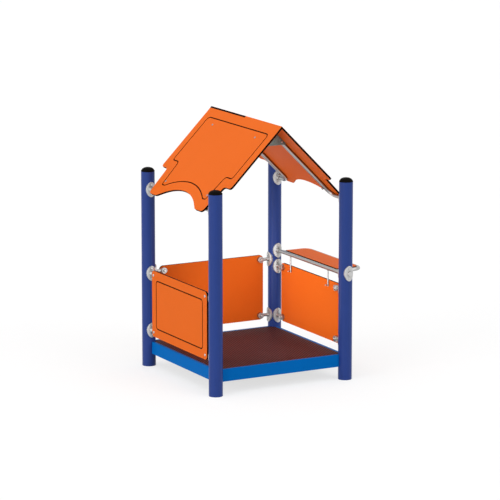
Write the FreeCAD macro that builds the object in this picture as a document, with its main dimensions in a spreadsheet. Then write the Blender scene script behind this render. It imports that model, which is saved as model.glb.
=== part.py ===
"""Playhouse for a playground: four posts, a low deck, three panels, a counter and a gable roof.

Millimetres, +Z up.  The origin is on the ground, in the middle of the four posts.
The open side, with no panel, faces -Y.  The ridge of the roof runs along Y.
"""
import FreeCAD, Part
import math
import os
import re
import Sketcher
from FreeCAD import Placement, Rotation, Vector

SIZES = [
    # Posts and their caps
    ("post_spacing_x", 1070, "between post centres, left to right"),
    ("post_spacing_y", 1070, "between post centres, front to rear"),
    ("post_diameter", 101.6, "outside of the steel tube"),
    ("post_wall", 3, "wall of the steel tube"),
    ("post_height", 1470, "ground to the top of the tube"),
    ("cap_rim", 5, "straight rim of the cap above the tube"),
    ("cap_dome", 25, "rise of the dome above its rim"),
    ("cap_spigot", 22, "depth of the cap inside the tube"),
    ("cap_wall", 3, "wall of the cap's spigot"),
    # Deck
    ("deck_height", 187, "ground to the top of the deck"),
    ("rail_depth", 91, "height of a deck rail"),
    ("rail_wall", 3, "sheet steel of a deck rail"),
    ("rail_rim", 20, "top lip of a rail, beside the floor"),
    ("rail_corner_gap", 1.1, "inner edge of a rail to the end of the next one"),
    ("floor_thickness", 15, "anti-slip floor board"),
    ("bracket_height", 56, "corner bracket between two rails"),
    ("bracket_wall", 6, "plate of the corner bracket"),
    ("bracket_wing", 60, "post surface to the end of a bracket's wing"),
    ("bracket_lift", 10, "bottom of a rail to its bracket"),
    ("bracket_bolt_pitch", 30, "between the two bolts of a bracket"),
    # Panels
    ("panel_thickness", 15, "three-layer board"),
    ("panel_end_gap", 97.5, "post centre to the end of a panel"),
    ("panel_bottom", 243, "ground to the lower edge"),
    ("panel_height", 500, "left and rear panels"),
    ("counter_panel_height", 450, "lower panel, below the counter"),
    ("panel_offset", 5, "post centre line to the inner face"),
    ("panel_corner", 30, "corner radius"),
    ("panel_bolt_side", 27.5, "panel end to its bolts"),
    ("panel_bolt_edge", 34, "top or lower edge to the bolts"),
    ("groove_inset", 64, "panel edge to the routed line"),
    ("groove_width", 9, "width of a routed line"),
    ("groove_depth", 4, "depth of a routed line"),
    ("groove_corner", 29, "corner radius of the routed line"),
    # Cast saddles bolted to the posts
    ("saddle_side_gap", 1.27, "between two oval plates at a right angle on one post"),
    ("saddle_height", 113, "oval plate, along the post"),
    ("saddle_thickness", 9, "oval plate"),
    ("saddle_rounding", 2.5, "rounded front edge of the oval plate"),
    ("saddle_screw_offset", 36, "middle of the saddle to a screw"),
    ("stub_root", 19, "radius of a stub at its saddle"),
    ("stub_cone", 16, "length of the cone at the root of a stub"),
    ("stub_radius", 12.5, "radius of the stub that holds an eye"),
    ("eye_radius", 23, "round eye bolted to a panel"),
    ("eye_thickness", 25, "round eye bolted to a panel"),
    ("eye_rounding", 3, "rounded free edge of the eye"),
    ("socket_wall", 4, "wall of a saddle's socket round a tube"),
    ("socket_depth", 24, "length of tube held in a socket"),
    ("spare_level", 798, "ground to the spare saddle on the right front post"),
    ("spare_stub", 14, "length of the spare saddle's blind stub"),
    # Tubes
    ("tube_diameter", 26.9, "rafters and counter tubes"),
    ("tube_wall", 2.6, "rafters and counter tubes"),
    # Roof
    ("roof_thickness", 15, "three-layer board"),
    ("roof_pitch", 45, "degrees"),
    ("roof_length", 1080, "gable to gable, along the ridge"),
    ("roof_foot_before", 165, "foot of the gable edge to the rafter's bend, down the slope"),
    ("roof_eave_past", 70, "rafter's bend to the eave, down the slope"),
    ("leg_spread", 890, "between the outer sides of the two lobes, at their tops"),
    ("lobe_spread", 842, "between the outer sides of the two lobes, at the eave"),
    ("lobe_gap", 616, "between the inner corners of the two lobes"),
    ("arch_slope", 31.4, "degrees, side of the arch between the lobes"),
    ("arch_radius", 480, "arch between the lobes"),
    ("foot_radius", 25, "rounded gable foot and the inner corner beside it"),
    ("lobe_outer_radius", 35, "outer corner of a lobe"),
    ("lobe_inner_radius", 50, "inner corner of a lobe"),
    ("roof_groove_inset", 74, "gable edge, leg and arch to the routed line"),
    ("roof_groove_ridge", 87, "ridge to the routed line"),
    ("roof_groove_eave", 93, "eave to the routed line"),
    ("roof_groove_tip", 17, "rounded tip of the routed line in a lobe"),
    ("roof_groove_corner", 37, "upper corner of the routed line"),
    ("rafter_spread", 654, "between the planes of the two rafter pairs"),
    ("rafter_drop", 130, "top of a post to the tube that meets it"),
    ("rafter_bend", 65, "bend radius at the foot of a rafter"),
    ("rafter_top_gap", 16, "ridge plane to the upper end of a rafter"),
    ("roof_bolt_upper", 146, "ridge to the upper bolts, down the slope"),
    ("roof_bolt_lower", 695, "ridge to the lower bolts, down the slope"),
    ("roof_nut_length", 11, "closed nut below a rafter"),
    ("gusset_thickness", 6, "ridge plate"),
    ("gusset_height", 148, "height of the ridge plate"),
    ("gusset_corner", 8, "rounded corners of the ridge plate"),
    ("gusset_bolt_inner", 50, "ridge plane to the inner bolts"),
    ("gusset_bolt_outer", 108, "ridge plane to the outer bolts"),
    # Counter
    ("counter_level", 780, "ground to the middle of the counter's tubes"),
    ("counter_rise", 17, "middle of the tubes to the top of the board"),
    ("counter_thickness", 15, "three-layer board"),
    ("counter_gap", 1.6, "between the board and the tubes round it"),
    ("counter_end_gap", 152, "post centre to the end of the board"),
    ("counter_depth", 186, "away from the posts"),
    ("counter_corner", 50, "outer corners of the board"),
    ("strap_spread", 400, "between the two straps below the board"),
    ("strap_width", 30, "flat bar below the board"),
    ("strap_thickness", 4, "flat bar below the board"),
    ("strap_screw_side", 40, "end of a strap to its screws"),
    ("strap_screw_bite", 9, "screw inside the board"),
    ("rod_diameter", 12, "rods from the tube down to the panel"),
    ("rod_spread", 564, "between the two rods"),
    ("rod_bolt_drop", 37, "top of the panel to the bolts of the rods"),
    ("rod_tail", 9, "rod below its bolt"),
    ("rod_nut_length", 18, "sleeve nut on the inner end of a rod bolt"),
    # Fasteners
    ("bolt_diameter", 10, "panel and bracket bolts"),
    ("screw_diameter", 8, "roof, gusset and saddle fasteners"),
    ("small_screw_diameter", 6, "rod bolts and counter screws"),
    ("head_ratio", 1.9, "head diameter over fastener diameter"),
    ("head_rise", 0.5, "head height over fastener diameter"),
    ("socket_share", 0.62, "width of a head's hexagon socket over fastener diameter"),
    ("nut_rise", 0.8, "nut height over fastener diameter"),
    # Fits
    ("hole_play", 0.4, "between a fastener and its hole, all round"),
    ("seat_gap", 0.3, "between curved faces that seat on each other"),
    ("board_play", 1, "between a board and the frame round it"),
]
NAMES = {name for name, _, _ in SIZES}

# Sizes worked out from the driving ones, as formulas
POST_RADIUS = "(post_diameter / 2)"
RAIL_REACH = "(post_diameter / 2 + seat_gap - rail_corner_gap)"
SADDLE_WIDTH = "((post_diameter / 2 + seat_gap) * sqrt(2) - saddle_side_gap)"
SADDLE_FACE = "(post_diameter / 2 + seat_gap + saddle_thickness)"
EYE_PLACE = "(panel_end_gap + panel_bolt_side)"
LOWER_BOLT = "(panel_bottom + panel_bolt_edge)"
UPPER_BOLT = "(panel_bottom + panel_height - panel_bolt_edge)"
COUNTER_BOLT = "(panel_bottom + counter_panel_height - panel_bolt_edge)"
TUBE_RADIUS = "(tube_diameter / 2)"
BEND_X = "(post_spacing_x / 2)"
BEND_SLOPE = "(%s / cos(roof_pitch))" % BEND_X
RAFTER_Y = "(rafter_spread / 2)"
AXIS_DEPTH = "(tube_diameter / 2 + seat_gap + roof_thickness)"
RAFTER_FOOT = "(post_height - rafter_drop)"
RIDGE = "(" + RAFTER_FOOT + " + %s * tan(roof_pitch) + %s / cos(roof_pitch))" % (BEND_X, AXIS_DEPTH)
COUNTER_INNER = "(post_spacing_x / 2 + tube_diameter / 2 + counter_gap)"
COUNTER_OUTER = "(%s + counter_depth)" % COUNTER_INNER
COUNTER_HALF = "(post_spacing_y / 2 - counter_end_gap)"

ALONG = Vector(1, 0, 0)
ACROSS = Vector(0, 1, 0)
UP = Vector(0, 0, 1)

# Each post: its sides of the origin, and the turn that faces a corner bracket inwards
POSTS = {
    "front_left": (-1, -1, 0),
    "front_right": (1, -1, 90),
    "rear_right": (1, 1, 180),
    "rear_left": (-1, 1, 270),
}

document = FreeCAD.newDocument("Playhouse")
sheet = document.addObject("Spreadsheet::Sheet", "Sizes")
for row, (name, number, note) in enumerate(SIZES, start=1):
    sheet.set("A%d" % row, name)
    sheet.set("B%d" % row, str(number))
    sheet.set("C%d" % row, note)
    sheet.setAlias("B%d" % row, name)
document.recompute()

sub_parts = []


def tied(formula):
    """The formula with each size's name tied to its cell in the sheet."""
    return re.sub(r"[a-z_]+", lambda word: "Sizes." * (word[0] in NAMES) + word[0], str(formula))


def value(formula):
    """The number that a formula of sizes gives now."""
    return float(sheet.evalExpression(tied(formula)))


def bind(thing, formulas):
    """Tie properties of an object to formulas of sizes."""
    for property_name, formula in formulas.items():
        thing.setExpression(property_name, tied(formula))


def put(thing, x="0", y="0", z="0", turn=None):
    """Place an object at a point given by formulas, turned first by a fixed rotation."""
    thing.Placement = Placement(Vector(), turn or Rotation())
    bind(thing, {"Placement.Base.x": x, "Placement.Base.y": y, "Placement.Base.z": z})


def keep(thing, label):
    """Name a finished sub-part."""
    thing.Label = label
    sub_parts.append(thing)
    return thing


def rounded(base, radius, chosen):
    """A base with those of its edges rounded that pass a test."""
    document.recompute()
    made = document.addObject("Part::Fillet", base.Name + "Rounded")
    made.Base = base
    made.Edges = [(index, value(radius), value(radius))
                  for index, edge in enumerate(base.Shape.Edges, start=1) if chosen(edge)]
    return made


def cylinder(name, radius, height, x="0", y="0", z="0", turn=None):
    """A cylinder along its own Z, tied to sizes."""
    made = document.addObject("Part::Cylinder", name)
    bind(made, {"Radius": radius, "Height": height})
    put(made, x, y, z, turn)
    return made


def box(name, length, width, height, x="0", y="0", z="0"):
    """A box from its lowest corner, tied to sizes."""
    made = document.addObject("Part::Box", name)
    bind(made, {"Length": length, "Width": width, "Height": height})
    put(made, x, y, z)
    return made


def combine(kind, name, first, *others):
    """Cut, Common, or MultiFuse of document objects."""
    made = document.addObject("Part::" + kind, name)
    if kind == "MultiFuse":
        made.Shapes = [first, *others]
    else:
        made.Base = first
        made.Tool = others[0]
    return made


def body(name):
    """An empty body, and a function that starts a sketch on one of its origin planes."""
    made = document.addObject("PartDesign::Body", name)

    def sketch(plane_role, sketch_name):
        plane = next(item for item in made.Origin.OriginFeatures if item.Role == plane_role)
        drawn = made.newObject("Sketcher::SketchObject", sketch_name)
        drawn.AttachmentSupport = [(plane, "")]
        drawn.MapMode = "FlatFace"
        return drawn

    return made, sketch


def fix_point(sketch, geometry, end, x, y):
    """Tie a point of a sketch to two formulas."""
    for direction, formula in (("DistanceX", x), ("DistanceY", y)):
        index = sketch.addConstraint(Sketcher.Constraint(direction, geometry, end, value(formula)))
        sketch.setExpression("Constraints[%d]" % index, tied(formula))


def circle(sketch, x, y, radius):
    """A circle whose centre and radius are tied to formulas."""
    round_edge = Part.Circle(Vector(value(x), value(y), 0), UP, value(radius))
    index = sketch.addGeometry(round_edge, False)
    fix_point(sketch, index, 3, x, y)
    limit = sketch.addConstraint(Sketcher.Constraint("Radius", index, value(radius)))
    sketch.setExpression("Constraints[%d]" % limit, tied(radius))


def outline(sketch, corners):
    """A closed outline through corners, each (x, y, radius), all tied to formulas."""
    points = [Vector(value(x), value(y), 0) for x, y, _ in corners]
    count = len(points)
    arrivals, departures, arcs = [], [], []
    for index, (_, _, radius) in enumerate(corners):
        back = (points[index - 1] - points[index]).normalize()
        ahead = (points[(index + 1) % count] - points[index]).normalize()
        half_angle = back.getAngle(ahead) / 2
        trim = value(radius) / math.tan(half_angle)
        arrivals.append(points[index] + back * trim)
        departures.append(points[index] + ahead * trim)
        middle = (back + ahead).normalize() * (value(radius) / math.sin(half_angle))
        arcs.append((points[index] + middle, back.cross(ahead).z < 0))
    lines = []
    for index in range(count):
        edge = Part.LineSegment(departures[index], arrivals[(index + 1) % count])
        lines.append(sketch.addGeometry(edge, False))
    for index, (x, y, radius) in enumerate(corners):
        into, out = lines[index - 1], lines[index]
        if value(radius) == 0:
            sketch.addConstraint(Sketcher.Constraint("Coincident", into, 2, out, 1))
            fix_point(sketch, out, 1, x, y)
            continue
        centre, left_turn = arcs[index]
        first, last = arrivals[index], departures[index]
        if not left_turn:
            first, last = last, first
        angles = [math.atan2(point.y - centre.y, point.x - centre.x) for point in (first, last)]
        if angles[1] < angles[0]:
            angles[1] += 2 * math.pi
        rounded = Part.ArcOfCircle(Part.Circle(centre, UP, value(radius)), *angles)
        arc = sketch.addGeometry(rounded, False)
        corner = sketch.addGeometry(Part.Point(points[index]), True)
        fix_point(sketch, corner, 1, x, y)
        sketch.addConstraint(Sketcher.Constraint("PointOnObject", corner, 1, into))
        sketch.addConstraint(Sketcher.Constraint("PointOnObject", corner, 1, out))
        near, far = (1, 2) if left_turn else (2, 1)
        sketch.addConstraint(Sketcher.Constraint("Tangent", into, 2, arc, near))
        sketch.addConstraint(Sketcher.Constraint("Tangent", arc, far, out, 1))
        limit = sketch.addConstraint(Sketcher.Constraint("Radius", arc, value(radius)))
        sketch.setExpression("Constraints[%d]" % limit, tied(radius))


def rectangle(x_low, x_high, y_low, y_high, radius="0"):
    """The corners of a rectangle, for an outline."""
    return [(x_low, y_low, radius), (x_high, y_low, radius),
            (x_high, y_high, radius), (x_low, y_high, radius)]


def pad(made, sketch, length, side="One side", backwards=False):
    """Pad a sketch of a body."""
    feature = made.newObject("PartDesign::Pad", sketch.Name + "Pad")
    feature.Profile = sketch
    feature.SideType = side
    feature.Reversed = backwards
    bind(feature, {"Length": length})
    return feature


def pocket(made, sketch, depth=None, backwards=False):
    """Cut a sketch of a body to a depth, or through it both ways."""
    feature = made.newObject("PartDesign::Pocket", sketch.Name + "Pocket")
    feature.Profile = sketch
    feature.Reversed = backwards
    if depth is None:
        feature.SideType = "Symmetric"
        feature.Type = "ThroughAll"
    else:
        bind(feature, {"Length": depth})
    return feature


def domed_disc(radius, height, rounding):
    """A disc from Z = 0 up, its upper edge rounded."""
    disc = Part.makeCylinder(radius, height)
    upper = [edge for edge in disc.Edges if edge.Closed and abs(edge.CenterOfMass.z - height) < 1e-6]
    return disc.makeFillet(rounding, upper)


def fastener(diameter, reach, nut_length=None):
    """A domed head with a hexagon socket above Z = 0, its shank, and a closed nut if that has a length."""
    radius = value(diameter) / 2
    head_radius = radius * value("head_ratio")
    head_height = value(diameter) * value("head_rise")
    socket_radius = value(diameter) * value("socket_share") / math.sqrt(3)
    corners = [Vector(socket_radius * math.cos(angle), socket_radius * math.sin(angle), head_height * 0.3)
               for angle in [math.pi / 3 * step for step in range(7)]]
    socket = Part.Face(Part.makePolygon(corners)).extrude(Vector(0, 0, head_height))
    head = domed_disc(head_radius, head_height, head_height * 0.7).cut(socket)
    if nut_length is None:
        return [head.fuse(Part.makeCylinder(radius, reach, Vector(0, 0, -reach)))]
    length = value(nut_length)
    shank = reach + length * 0.6
    bolt = head.fuse(Part.makeCylinder(radius, shank, Vector(0, 0, -shank)))
    nut = domed_disc(head_radius, length, min(length, head_radius) / 2)
    nut = nut.cut(Part.makeCylinder(radius + value("seat_gap"), length * 0.6 + value("seat_gap")))
    nut.Placement = Placement(Vector(0, 0, -reach), Rotation(ALONG, 180))
    return [bolt, nut]


def placed(shapes, point, outward):
    """Copies of shapes, their Z turned to point outward from a point."""
    turn = Rotation(UP, outward)
    copies = []
    for shape in shapes:
        copy = shape.copy()
        copy.Placement = Placement(point, turn) * shape.Placement
        copies.append(copy)
    return copies


def bent_path(points, radius):
    """Straight runs through points, joined by tangent arcs of one radius."""
    edges = []
    start = points[0]
    for before, corner, after in zip(points, points[1:], points[2:]):
        back = (before - corner).normalize()
        ahead = (after - corner).normalize()
        half_angle = back.getAngle(ahead) / 2
        trim = radius / math.tan(half_angle)
        entry = corner + back * trim
        leave = corner + ahead * trim
        reach = radius / math.sin(half_angle) - radius
        middle = corner + (back + ahead).normalize() * reach
        edges.append(Part.LineSegment(start, entry).toShape())
        edges.append(Part.Arc(entry, middle, leave).toShape())
        start = leave
    edges.append(Part.LineSegment(start, points[-1]).toShape())
    return Part.Wire(edges)


def bent_bar(points, bend_radius, section_radius):
    """A round solid along a bent path."""
    section = Part.Wire(Part.makeCircle(section_radius, points[0], points[1] - points[0]))
    return bent_path(points, bend_radius).makePipeShell([section], True, False)


def drill(centre, outward, diameter, depth):
    """A straight hole's cylinder through a centre, reaching a depth both ways."""
    radius = value(diameter) / 2 + value("hole_play")
    return Part.makeCylinder(radius, 2 * depth, centre - outward * depth, outward)


def feature(label, shape):
    """A finished shape as one sub-part."""
    made = document.addObject("Part::Feature", label)
    made.Shape = shape
    return keep(made, label)


# --- Saddles: which post each one sits on, which way it faces, its level and its kind -----------

PANEL_ENDS = [
    ("left", "front_left", 90, UPPER_BOLT, False),
    ("left", "rear_left", 270, UPPER_BOLT, True),
    ("rear", "rear_left", 0, UPPER_BOLT, False),
    ("rear", "rear_right", 180, UPPER_BOLT, True),
    ("right", "front_right", 90, COUNTER_BOLT, True),
    ("right", "rear_right", 270, COUNTER_BOLT, False),
]
saddles = [
    ("saddle_counter_rear", "rear_right", 270, "counter_level", "socket", False),
    ("saddle_counter_front", "front_right", 90, "counter_level", "socket", False),
    ("saddle_spare", "front_right", 270, "spare_level", "blind", False),
]
for panel, post, facing, upper, flipped in PANEL_ENDS:
    for end, level in (("upper", upper), ("lower", LOWER_BOLT)):
        label = "saddle_%s_panel_%s_%s" % (panel, post, end)
        saddles.append((label, post, facing, level, "eye", flipped))
for post, (_, side_y, _) in POSTS.items():
    saddles.append(("saddle_roof_" + post, post, -90 * side_y, RAFTER_FOOT, "socket", False))


def post_centre(post, level="0"):
    """The point on a post's centre line at a level."""
    side_x, side_y, _ = POSTS[post]
    return Vector(side_x * value("post_spacing_x / 2"), side_y * value("post_spacing_y / 2"), value(level))


def direction_of(facing):
    """The level direction that a facing angle in degrees gives."""
    return Rotation(UP, facing).multVec(ALONG)


# --- Posts: steel tubes drilled for the saddles' screws and the brackets' bolts -----------------

def bracket_bolt_levels():
    """Formulas for the levels of the two bolts of a corner bracket."""
    middle = "deck_height - rail_depth + bracket_lift + bracket_height / 2"
    return [middle + sign + " bracket_bolt_pitch / 2" for sign in ("-", "+")]


def post_drills(post):
    """Cylinders that drill one post, each from its centre line outwards."""
    drills = []
    for label, owner, facing, level, _, _ in saddles:
        if owner != post:
            continue
        for sign in ("-", "+"):
            drills.append(cylinder("PostDrill", "screw_diameter / 2 + hole_play", "post_diameter",
                                   z="%s %s saddle_screw_offset" % (level, sign),
                                   turn=Rotation(UP, direction_of(facing))))
    inward = Rotation(UP, direction_of(POSTS[post][2] + 45))
    for level in bracket_bolt_levels():
        drills.append(cylinder("PostDrill", "bolt_diameter / 2 + hole_play", "post_diameter",
                               z=level, turn=inward))
    return drills


for post, (side_x, side_y, _) in POSTS.items():
    outside = cylinder("PostOutside", POST_RADIUS, "post_height")
    inside = cylinder("PostInside", "post_diameter / 2 - post_wall", "post_height")
    tube = combine("Cut", "PostTube", outside, inside)
    drills = combine("MultiFuse", "PostDrills", *post_drills(post))
    made = keep(combine("Cut", "Post", tube, drills), "post_" + post)
    put(made, "%d * post_spacing_x / 2" % side_x, "%d * post_spacing_y / 2" % side_y)

for post, (side_x, side_y, _) in POSTS.items():
    made, sketch = body("PostCap")
    profile = sketch("XZ_Plane", "CapProfile")
    spigot_outside = "post_diameter / 2 - post_wall - seat_gap"
    outline(profile, [
        ("0", "0", "0"),
        (spigot_outside + " - cap_wall", "0", "0"),
        (spigot_outside + " - cap_wall", "-cap_spigot", "0"),
        (spigot_outside, "-cap_spigot", "0"),
        (spigot_outside, "0", "0"),
        (POST_RADIUS, "0", "0"),
        (POST_RADIUS, "cap_rim", "cap_rim / 2"),
        (POST_RADIUS + " * 0.78", "cap_rim + cap_dome * 0.64", "post_diameter / 4"),
        (POST_RADIUS + " * 0.4", "cap_rim + cap_dome", "post_diameter / 2"),
        ("0", "cap_rim + cap_dome", "0"),
    ])
    turned = made.newObject("PartDesign::Revolution", "CapTurned")
    turned.Profile = profile
    turned.ReferenceAxis = (profile, ["V_Axis"])
    put(made, "%d * post_spacing_x / 2" % side_x, "%d * post_spacing_y / 2" % side_y, "post_height")
    keep(made, "post_cap_" + post)

# --- Deck: four folded rails, a floor board that drops between their lips, corner brackets ------

RAILS = {"front": (0, "x", "y"), "right": (90, "y", "x"), "rear": (180, "x", "y"), "left": (270, "y", "x")}
for side, (turn, run, depth) in RAILS.items():
    made, sketch = body("DeckRail")
    section = sketch("YZ_Plane", "RailSection")
    ledge = "rail_depth - floor_thickness"
    outline(section, [
        ("0", "0", "0"),
        (RAIL_REACH, "0", "0"),
        (RAIL_REACH, "rail_wall", "0"),
        ("rail_wall", "rail_wall", "0"),
        ("rail_wall", "rail_depth - rail_wall", "0"),
        ("rail_rim - rail_wall", "rail_depth - rail_wall", "0"),
        ("rail_rim - rail_wall", ledge + " - rail_wall", "0"),
        (RAIL_REACH, ledge + " - rail_wall", "0"),
        (RAIL_REACH, ledge, "0"),
        ("rail_rim", ledge, "0"),
        ("rail_rim", "rail_depth", "0"),
        ("0", "rail_depth", "0"),
    ])
    pad(made, section, "post_spacing_%s - post_diameter - 2 * seat_gap" % run, "Symmetric")
    angle = math.radians(turn)
    push = " * post_spacing_%s / 2" % depth
    put(made, "%d%s" % (round(math.sin(angle)), push), "%d%s" % (-round(math.cos(angle)), push),
        "deck_height - rail_depth", Rotation(UP, turn))
    keep(made, "deck_rail_" + side)

made, sketch = body("DeckFloor")
board = sketch("XY_Plane", "FloorBoard")
floor_x = "post_spacing_x / 2 - rail_rim - board_play"
floor_y = "post_spacing_y / 2 - rail_rim - board_play"
outline(board, rectangle("-(%s)" % floor_x, floor_x, "-(%s)" % floor_y, floor_y))
pad(made, board, "floor_thickness")
corners = sketch("XY_Plane", "FloorCorners")
for side_x, side_y, _ in POSTS.values():
    circle(corners, "%d * post_spacing_x / 2" % side_x, "%d * post_spacing_y / 2" % side_y,
           POST_RADIUS + " + board_play")
pocket(made, corners)
put(made, z="deck_height - floor_thickness")
keep(made, "deck_floor")

bracket_bolts = []
for post, (side_x, side_y, turn) in POSTS.items():
    wing_start = POST_RADIUS + " + seat_gap"
    ring = combine("Cut", "BracketRing",
                   cylinder("BracketOutside", wing_start + " + bracket_wall", "bracket_height"),
                   cylinder("BracketInside", wing_start, "bracket_height"))
    corner = box("BracketCorner", "post_diameter", "post_diameter", "bracket_height",
                 "rail_wall", "rail_wall")
    quarter = combine("Common", "BracketQuarter", ring, corner)
    wing_x = box("BracketWingX", "bracket_wing", "bracket_wall", "bracket_height", wing_start, "rail_wall")
    wing_y = box("BracketWingY", "bracket_wall", "bracket_wing", "bracket_height", "rail_wall", wing_start)
    whole = combine("MultiFuse", "BracketWhole", quarter, wing_x, wing_y)
    inward = Rotation(UP, Vector(1, 1, 0))
    holes = [cylinder("BracketHole", "bolt_diameter / 2 + hole_play", "post_diameter",
                      z="%s - (deck_height - rail_depth + bracket_lift)" % level, turn=inward)
             for level in bracket_bolt_levels()]
    made = combine("Cut", "Bracket", whole, combine("MultiFuse", "BracketHoles", *holes))
    put(made, "%d * post_spacing_x / 2" % side_x, "%d * post_spacing_y / 2" % side_y,
        "deck_height - rail_depth + bracket_lift", Rotation(UP, turn))
    keep(made, "deck_bracket_" + post)
    outward = direction_of(turn + 45)
    reach = value(wing_start + " + bracket_wall + seat_gap")
    for level in bracket_bolt_levels():
        bolt = fastener("bolt_diameter", value("bracket_wall + seat_gap * 2 + post_wall * 4"))
        bracket_bolts += placed(bolt, post_centre(post, level) + outward * reach, outward)
feature("deck_bracket_bolts", Part.makeCompound(bracket_bolts))

# --- Panels: three-layer boards with a routed line on the outer face ----------------------------

PANELS = {
    "left": (270, "y", "x", "panel_height"),
    "rear": (180, "x", "y", "panel_height"),
    "right": (90, "y", "x", "counter_panel_height"),
}


def grooved_board(name, board_corners, groove_outlines, thickness, holes):
    """A board lying below its own XY plane, with a routed line in its upper face and drilled holes."""
    made, sketch = body(name)
    blank = sketch("XY_Plane", name + "Blank")
    outline(blank, board_corners)
    pad(made, blank, thickness, backwards=True)
    line = sketch("XY_Plane", name + "Line")
    for corners in groove_outlines:
        outline(line, corners)
    pocket(made, line, "groove_depth")
    drilling = sketch("XY_Plane", name + "Holes")
    for x, y, radius in holes:
        circle(drilling, x, y, radius)
    pocket(made, drilling)
    return made


def panel_corners(half, height, inset, radius):
    """A panel's outline, or one moved inwards from it, about the middle of its lower edge."""
    side = "%s - (%s)" % (half, inset)
    return rectangle("-(%s)" % side, side, inset, "%s - (%s)" % (height, inset), radius)


for side, (turn, run, depth, height) in PANELS.items():
    half = "(post_spacing_%s / 2 - panel_end_gap)" % run
    bolt_x = half + " - panel_bolt_side"
    holes = [(sign + "(%s)" % bolt_x, y, "bolt_diameter / 2 + hole_play")
             for sign in ("", "-") for y in ("panel_bolt_edge", height + " - panel_bolt_edge")]
    if side == "right":
        rod_y = height + " - rod_bolt_drop"
        holes += [(sign + "rod_spread / 2", rod_y, "small_screw_diameter / 2 + hole_play")
                  for sign in ("", "-")]
    made = grooved_board("Panel", panel_corners(half, height, "0", "panel_corner"), [
        panel_corners(half, height, "groove_inset", "groove_corner"),
        panel_corners(half, height, "groove_inset + groove_width", "groove_corner - groove_width"),
    ], "panel_thickness", holes)
    angle = math.radians(turn)
    push = " * (post_spacing_%s / 2 + panel_offset + panel_thickness)" % depth
    upright = Rotation(UP, turn) * Rotation(ALONG, 90)
    put(made, "%d%s" % (round(math.sin(angle)), push), "%d%s" % (-round(math.cos(angle)), push),
        "panel_bottom", upright)
    keep(made, "panel_" + side)

# --- Saddles: an oval plate that wraps the post, with an eye, a socket or a blind stub ----------

def saddle_casting(kind):
    """One casting about a post's centre line, facing +X; a panel's board lies on its +Y side."""
    outward = Rotation(UP, ALONG)
    seam_behind = Rotation(UP, 180)
    tall = "saddle_height * 1.2"
    shell = combine("Cut", "SaddleShell",
                    cylinder("SaddleOutside", SADDLE_FACE, tall, z="-%s / 2" % tall, turn=seam_behind),
                    cylinder("SaddleInside", POST_RADIUS + " + seat_gap", tall, z="-%s / 2" % tall,
                             turn=seam_behind))
    rim = document.addObject("Part::Ellipse", "SaddleRim")
    bind(rim, {"MajorRadius": "saddle_height / 2", "MinorRadius": SADDLE_WIDTH + " / 2"})
    rim.Placement = Placement(Vector(), Rotation(ACROSS, -90))
    oval = document.addObject("Part::Extrusion", "SaddleOval")
    oval.Base = rim
    oval.DirMode = "Custom"
    oval.Dir = ALONG
    oval.Solid = True
    bind(oval, {"LengthFwd": SADDLE_FACE + " * 2"})
    face_radius = value(SADDLE_FACE)
    plate = rounded(
        combine("Common", "SaddlePlate", shell, oval), "saddle_rounding",
        lambda edge: all(abs(math.hypot(point.x, point.y) - face_radius) < 0.01
                         for point in edge.discretize(5)))
    root = "(%s + seat_gap + saddle_thickness / 2)" % POST_RADIUS
    cone = document.addObject("Part::Cone", "StubCone")
    put(cone, root, turn=outward)
    pieces = [plate, cone]
    cuts = [cylinder("SaddleHole", "screw_diameter / 2 + hole_play", SADDLE_FACE + " * 2",
                     z=sign + "saddle_screw_offset", turn=outward) for sign in ("", "-")]
    if kind == "eye":
        bind(cone, {"Radius1": "stub_root", "Radius2": "stub_radius", "Height": "stub_cone"})
        inwards = Rotation(UP, -ACROSS)
        free_face = value("panel_offset - eye_thickness")
        eye = rounded(
            cylinder("Eye", "eye_radius", "eye_thickness", EYE_PLACE, "panel_offset", turn=inwards),
            "eye_rounding", lambda edge: abs(edge.CenterOfMass.y - free_face) < 0.01)
        neck = cylinder("StubNeck", "stub_radius", "%s - %s" % (EYE_PLACE, root), root, turn=outward)
        pieces += [neck, eye]
        cuts.append(box("BoardSeat", "eye_radius * 4", "eye_radius * 2", "eye_radius * 2",
                        "panel_end_gap - board_play", "panel_offset", "-eye_radius"))
        cuts.append(cylinder("EyeHole", "bolt_diameter / 2 + hole_play", "eye_thickness * 2",
                             EYE_PLACE, "panel_offset + eye_thickness / 2", turn=inwards))
    if kind == "socket":
        holder = "(tube_diameter / 2 + seat_gap + socket_wall)"
        bind(cone, {"Radius1": holder + " + socket_wall", "Radius2": holder, "Height": "stub_cone"})
        pieces.append(cylinder("Socket", holder, "socket_depth + %s - %s" % (SADDLE_FACE, root), root,
                               turn=outward))
        cuts.append(cylinder("SocketBore", TUBE_RADIUS + " + seat_gap", "socket_depth * 2",
                             SADDLE_FACE, turn=outward))
    if kind == "blind":
        bind(cone, {"Radius1": "stub_root", "Radius2": "stub_root - stub_cone / 4", "Height": "spare_stub"})
    whole = combine("MultiFuse", "SaddleWhole", *pieces)
    return combine("Cut", "Saddle" + kind.capitalize(), whole, combine("MultiFuse", "SaddleCuts", *cuts))


castings = {kind: saddle_casting(kind) for kind in ("eye", "socket", "blind")}
document.recompute()
saddle_screws = []
for label, post, facing, level, kind, flipped in saddles:
    made = document.addObject("Part::Feature", label)
    made.Shape = castings[kind].Shape
    side_x, side_y, _ = POSTS[post]
    turn = Rotation(UP, facing) * Rotation(ALONG, 180 * flipped)
    put(made, "%d * post_spacing_x / 2" % side_x, "%d * post_spacing_y / 2" % side_y, level, turn)
    keep(made, label)
    outward = direction_of(facing)
    head_seat = value(SADDLE_FACE + " + seat_gap")
    screw = fastener("screw_diameter", value("saddle_thickness + seat_gap * 2 + post_wall * 3"))
    for sign in ("-", "+"):
        middle = post_centre(post, "%s %s saddle_screw_offset" % (level, sign))
        saddle_screws += placed(screw, middle + outward * head_seat, outward)
feature("saddle_screws", Part.makeCompound(saddle_screws))

# --- Panel bolts: through the board and the eye, with a nut on the inner end --------------------

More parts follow.
